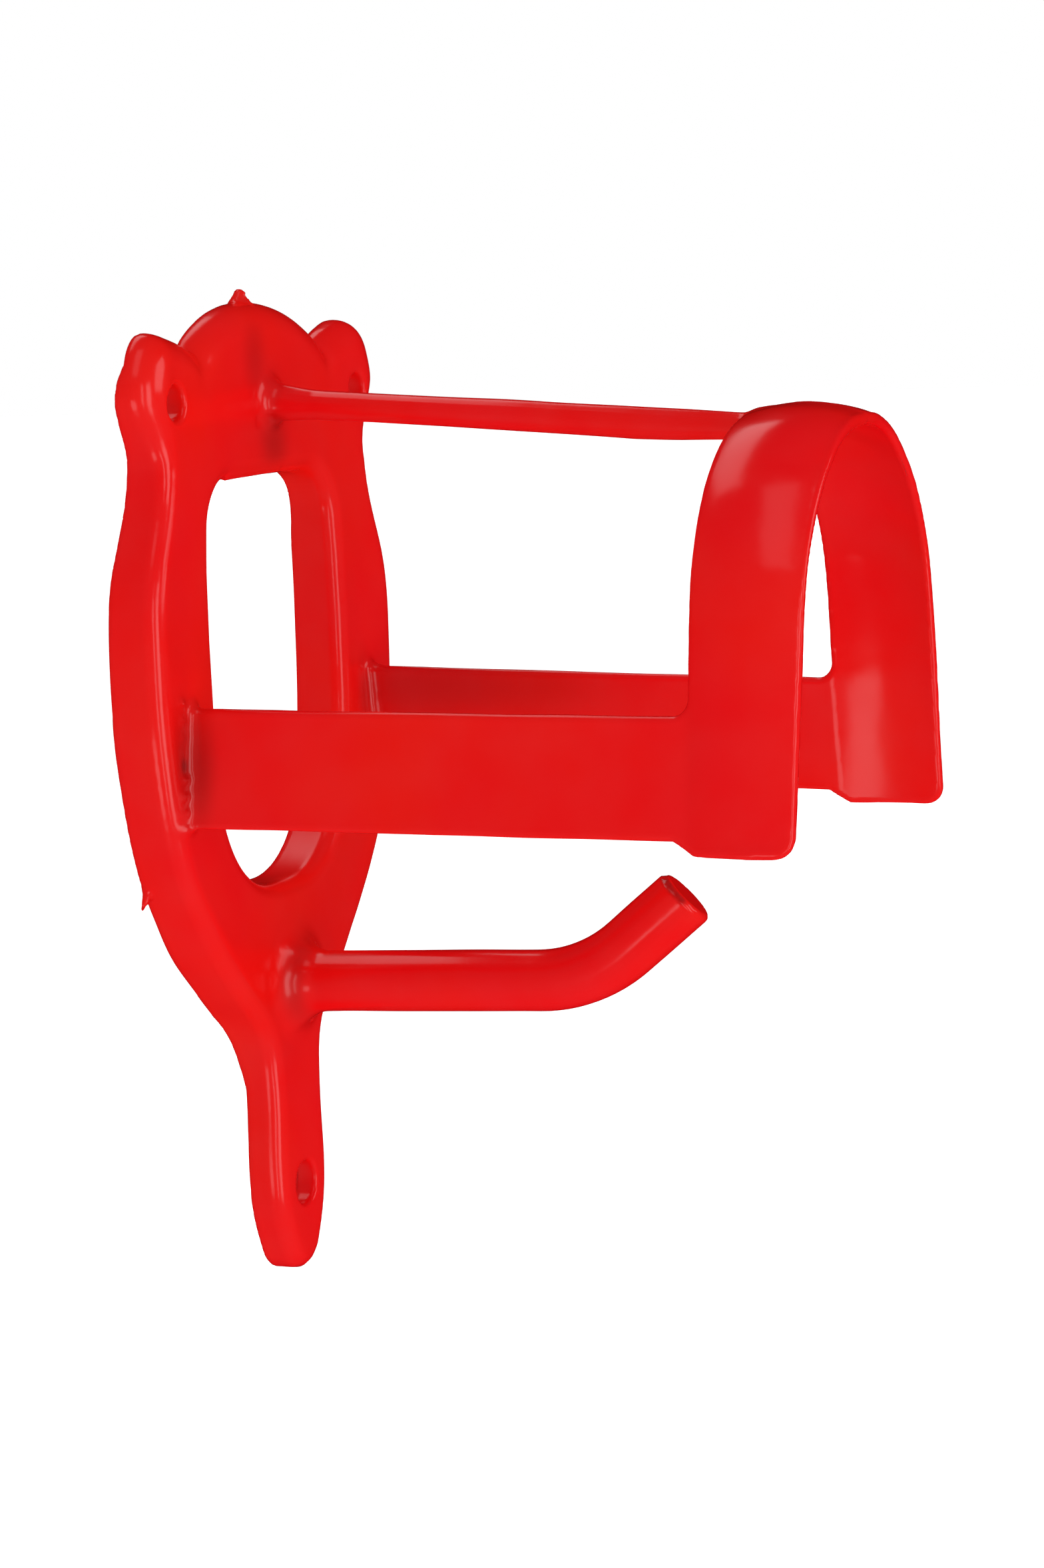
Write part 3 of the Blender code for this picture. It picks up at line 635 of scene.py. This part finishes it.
def mesh_piece(name, points, faces):
    """Points in millimetres above the tip become a smooth mesh in the row's frame."""
    placed = (points - np.array([0.0, 0.0, WALL_POINT])) * MM
    mesh = bpy.data.meshes.new(name)
    mesh.from_pydata(placed.tolist(), [], faces.tolist())
    mesh.update()
    mesh.shade_smooth()
    piece = bpy.data.objects.new(name, mesh)
    bpy.context.scene.collection.objects.link(piece)
    return piece


def make_skin():
    """The whole coat as one mesh."""
    grid = sampled_grid(SKIN_LOW, SKIN_HIGH)
    points, faces = surface_net(grid, SKIN_LOW)
    return mesh_piece("vinyl_skin", onto_surface(points), faces)


# Materials


def new_material(name):
    """(material, its node tree, its shader)"""
    material = bpy.data.materials.new(name)
    material.use_nodes = True
    tree = material.node_tree
    return material, tree, tree.nodes["Principled BSDF"]


def noise(tree, scale, detail):
    """A noise that stays with the rack: its scale is in metres."""
    coordinates = tree.nodes.new("ShaderNodeTexCoord")
    texture = tree.nodes.new("ShaderNodeTexNoise")
    texture.inputs["Scale"].default_value = scale
    texture.inputs["Detail"].default_value = detail
    tree.links.new(coordinates.outputs["Object"], texture.inputs["Vector"])
    return texture.outputs["Fac"]


NOISE_LOW = 0.3  # most of a noise's values lie between these two
NOISE_HIGH = 0.7


def ranged(tree, value, low, high):
    """A noise's value spread from low to high."""
    spread = tree.nodes.new("ShaderNodeMapRange")
    spread.inputs["From Min"].default_value = NOISE_LOW
    spread.inputs["From Max"].default_value = NOISE_HIGH
    spread.inputs["To Min"].default_value = low
    spread.inputs["To Max"].default_value = high
    tree.links.new(value, spread.inputs["Value"])
    return spread.outputs["Result"]


def vector_node(tree, operation, first, second):
    """One step of vector arithmetic, on a socket and a plain vector."""
    node = tree.nodes.new("ShaderNodeVectorMath")
    node.operation = operation
    tree.links.new(first, node.inputs[0])
    node.inputs[1].default_value = second
    return node.outputs["Value" if operation == "LENGTH" else "Vector"]


def zone(tree, centre, reach):
    """1 at a place on the rack, in millimetres above the tip, fading to 0 a reach away from it."""
    place = [centre[0] * MM, centre[1] * MM, (centre[2] - WALL_POINT) * MM]
    coordinates = tree.nodes.new("ShaderNodeTexCoord").outputs["Object"]
    away = vector_node(tree, "SUBTRACT", coordinates, place)
    scaled = vector_node(tree, "DIVIDE", away, [r * MM for r in reach])
    distance = vector_node(tree, "LENGTH", scaled, (0.0, 0.0, 0.0))
    fade = tree.nodes.new("ShaderNodeMapRange")
    fade.interpolation_type = "SMOOTHERSTEP"
    fade.inputs["To Min"].default_value = 1.0
    fade.inputs["To Max"].default_value = 0.0
    tree.links.new(distance, fade.inputs["Value"])
    return fade.outputs["Result"]


def mixed(tree, factor, first, second):
    """A colour mix; each side is a socket or a colour."""
    mix = tree.nodes.new("ShaderNodeMix")
    mix.data_type = "RGBA"
    tree.links.new(factor, mix.inputs["Factor"])
    for side, colour in (("A", first), ("B", second)):
        if isinstance(colour, tuple):
            mix.inputs[side].default_value = colour
        else:
            tree.links.new(colour, mix.inputs[side])
    return mix.outputs["Result"]


def times(tree, value, amount):
    """A socket's value times a number."""
    node = tree.nodes.new("ShaderNodeMath")
    node.operation = "MULTIPLY"
    node.inputs[1].default_value = amount
    tree.links.new(value, node.inputs[0])
    return node.outputs["Value"]


# Painted shade where shade falls: on the dome above the stay's root, under the stay, round the left arm's
# root and its pit, along the right arm and round the hook's root: (centre, reach each way, share of the
# painted shade colour)
PAINTED_SHADE_ZONES = [
    ((-7.0, -15.0, 210.0), (10.0, 5.0, 16.0), 0.6),
    ((1.0, -15.0, 190.0), (13.0, 5.0, 12.0), 0.95),
    ((-49.0, -15.0, 123.0), (9.0, 7.0, 22.0), 0.6),
    ((-49.5, -13.0, 122.5), (2.0, 3.0, 3.0), 1.0),
    ((42.0, -36.0, 130.0), (7.0, 58.0, 16.0), 0.55),
    ((-3.0, -15.0, 68.0), (12.0, 5.0, 14.0), 0.8),
]
# Painted shade along the crease round the hook's cut end: its reach each way and its share of the painted
# shade colour
CREASE_SHADE_REACH = (2.0, 2.0, 2.0)
CREASE_SHADE_SHARE = 0.9

HUE_NOISE = (26.0, 2.0)  # (scale, detail)
MOST_ORANGE = 0.7  # share of the orange red at the noise's highest
GLOSS_NOISE = (90.0, 4.0)
ROUGHNESS = (0.15, 0.21)  # at the noise's lowest and highest
GRAIN_NOISE = (260.0, 2.0)
GRAIN_STRENGTH = 0.06
GRAIN_DEPTH = 0.0004  # metres
VINYL_IOR = 1.5
STEEL_GREY = (0.42, 0.43, 0.45)
STEEL_ROUGHNESS = 0.4
WELD_GREY = (0.33, 0.33, 0.35)
WELD_ROUGHNESS = 0.55
STEEL_NOISE = (300.0, 6.0)
STEEL_SPREAD = 0.1  # how far a steel's roughness varies each way


def vinyl():
    """Glossy red vinyl with painted shade where shade falls and along the hook's crease, and a fine grain.
    """
    material, tree, shader = new_material("red_vinyl")
    hue = ranged(tree, noise(tree, *HUE_NOISE), 0.0, MOST_ORANGE)
    colour = mixed(tree, hue, RED, ORANGE_RED)
    crease_shade = [(start, CREASE_SHADE_REACH, CREASE_SHADE_SHARE) for start, *_ in crease()[1:]]
    # Painted shade: each zone and each step of the crease mixes in the dark shade colour
    for centre, reach, share in PAINTED_SHADE_ZONES + crease_shade:
        painted_shade = times(tree, zone(tree, centre, reach), share)
        colour = mixed(tree, painted_shade, colour, PAINTED_SHADE_RED)
    tree.links.new(colour, shader.inputs["Base Color"])
    gloss = ranged(tree, noise(tree, *GLOSS_NOISE), *ROUGHNESS)
    tree.links.new(gloss, shader.inputs["Roughness"])
    bump = tree.nodes.new("ShaderNodeBump")
    bump.inputs["Strength"].default_value = GRAIN_STRENGTH
    bump.inputs["Distance"].default_value = GRAIN_DEPTH
    tree.links.new(noise(tree, *GRAIN_NOISE), bump.inputs["Height"])
    tree.links.new(bump.outputs["Normal"], shader.inputs["Normal"])
    shader.inputs["IOR"].default_value = VINYL_IOR
    return material


def steel(name, colour, roughness):
    """Bare steel, for the nodes that the skin hides."""
    material, tree, shader = new_material(name)
    shader.inputs["Metallic"].default_value = 1.0
    shader.inputs["Base Color"].default_value = (*colour, 1.0)
    span = (roughness - STEEL_SPREAD, roughness + STEEL_SPREAD)
    tree.links.new(ranged(tree, noise(tree, *STEEL_NOISE), *span), shader.inputs["Roughness"])
    return material


def dress(piece, material):
    """Gives a piece one material, in place of what it has."""
    piece.data.materials.clear()
    piece.data.materials.append(material)


# Light, floor and camera

WHITE = (1.0, 1.0, 1.0, 1.0)
MIDDLE = (0.0, -0.06, 0.02)  # roughly the rack's middle, in metres
TOP_TARGET = (0.3, -0.06, 0.02)  # straight in front of the top light, which keeps its long side level

# (name, place, target, size in metres, watts)
LIGHTS = [
    ("top", (0.3, 0.45, 1.1), TOP_TARGET, (1.2, 0.3), 1.4),
    ("shoulder", (-0.55, -0.19, 0.85), MIDDLE, (0.3, 0.7), 0.4),
    ("low", (-0.5, -0.07, -0.18), MIDDLE, (0.15, 0.14), 0.1),
    ("front_fill", (0.35, -1.2, 0.4), MIDDLE, (0.6, 0.6), 1.6),
    ("front_strip", (-0.48, -1.15, -0.05), MIDDLE, (0.35, 1.0), 2.2),
    ("camera_strip", (-0.9, -0.85, -0.05), MIDDLE, (0.12, 1.0), 0.8),
]
FILL_STRENGTH = 0.71  # of the white world, for all but glossy and camera rays
FLOOR_REACH = 30.0  # from its middle to each side
FLOOR_COLOUR = (0.95, 0.95, 0.95, 1.0)
FLOOR_ROUGHNESS = 0.9
FLOOR_HEIGHT = -0.6
FLOOR_GLOW_SEEN = 0.7  # for camera rays
FLOOR_GLOW = 0.3  # for all other rays
CAMERA_PLACE = (-0.85723, -0.45243, 0.12923)
CAMERA_AZIMUTH = math.radians(-66.0)
CAMERA_ELEVATION = math.radians(6.375)
CAMERA_ROLL = math.radians(-2.309)
CAMERA_LENS = 97.59
CAMERA_CLIP = (0.05, 100.0)


def add_area(name, place, target, size, power):
    """A rectangular light that faces its target."""
    data = bpy.data.lights.new(name, "AREA")
    data.shape = "RECTANGLE"
    data.size, data.size_y = size
    data.energy = power
    light = bpy.data.objects.new(name, data)
    light.location = place
    light.rotation_mode = "QUATERNION"
    light.rotation_quaternion = (Vector(target) - Vector(place)).to_track_quat("-Z", "Y")
    bpy.context.scene.collection.objects.link(light)


def switched(tree, ray, otherwise, on_ray):
    """One number for the named kind of ray and another for the rest; otherwise may be a socket."""
    mix = tree.nodes.new("ShaderNodeMix")
    mix.data_type = "FLOAT"
    mix.inputs["B"].default_value = on_ray
    if isinstance(otherwise, float):
        mix.inputs["A"].default_value = otherwise
    else:
        tree.links.new(otherwise, mix.inputs["A"])
    paths = tree.nodes.new("ShaderNodeLightPath")
    tree.links.new(paths.outputs[ray], mix.inputs["Factor"])
    return mix.outputs["Result"]


def add_world():
    """A white world that the camera sees, that fills the shadows and that isn't mirrored in the vinyl."""
    world = bpy.data.worlds.new("studio")
    bpy.context.scene.world = world
    world.use_nodes = True
    tree = world.node_tree
    background = tree.nodes["Background"]
    background.inputs["Color"].default_value = WHITE
    fill = switched(tree, "Is Glossy Ray", FILL_STRENGTH, 0.0)
    strength = switched(tree, "Is Camera Ray", fill, 1.0)
    tree.links.new(strength, background.inputs["Strength"])


def add_floor():
    """A wide pale floor well below the rack, which hangs on a wall."""
    mesh = bpy.data.meshes.new("floor")
    corners = [(x * FLOOR_REACH, y * FLOOR_REACH, 0.0) for x, y in ((-1, -1), (1, -1), (1, 1), (-1, 1))]
    mesh.from_pydata(corners, [], [(0, 1, 2, 3)])
    floor = bpy.data.objects.new("floor", mesh)
    floor.location = (0.0, 0.0, FLOOR_HEIGHT)
    bpy.context.scene.collection.objects.link(floor)
    material, tree, shader = new_material("pale_floor")
    shader.inputs["Base Color"].default_value = FLOOR_COLOUR
    shader.inputs["Roughness"].default_value = FLOOR_ROUGHNESS
    shader.inputs["Emission Color"].default_value = WHITE
    glow = switched(tree, "Is Camera Ray", FLOOR_GLOW, FLOOR_GLOW_SEEN)
    tree.links.new(glow, shader.inputs["Emission Strength"])
    dress(floor, material)
    floor.visible_glossy = False


def add_camera():
    """The camera, turned by an azimuth from straight in front, an elevation and a slight roll."""
    right = Vector((math.cos(CAMERA_AZIMUTH), math.sin(CAMERA_AZIMUTH), 0.0))
    level = Vector((math.sin(CAMERA_AZIMUTH), -math.cos(CAMERA_AZIMUTH), 0.0))
    back = level * math.cos(CAMERA_ELEVATION) + Vector((0.0, 0.0, math.sin(CAMERA_ELEVATION)))
    up = back.cross(right)
    right_rolled = right * math.cos(CAMERA_ROLL) + up * math.sin(CAMERA_ROLL)
    up_rolled = up * math.cos(CAMERA_ROLL) - right * math.sin(CAMERA_ROLL)
    data = bpy.data.cameras.new("camera")
    data.lens = CAMERA_LENS
    data.clip_start, data.clip_end = CAMERA_CLIP
    camera = bpy.data.objects.new("camera", data)
    axes = Matrix((right_rolled, up_rolled, back)).transposed().to_4x4()
    camera.matrix_world = Matrix.Translation(CAMERA_PLACE) @ axes
    bpy.context.scene.collection.objects.link(camera)
    bpy.context.scene.camera = camera


vinyl_skin = make_skin()
dress(vinyl_skin, vinyl())
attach(vinyl_skin, "root")
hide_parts("vinyl_coat")

bare = steel("mild_steel", STEEL_GREY, STEEL_ROUGHNESS)
bead = steel("weld_metal", WELD_GREY, WELD_ROUGHNESS)
for name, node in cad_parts.items():
    if name != "vinyl_coat":
        dress(node, bead if "weld" in name else bare)

add_world()
add_floor()
add_camera()
for light in LIGHTS:
    add_area(*light)
bpy.context.scene.view_settings.view_transform = "Standard"
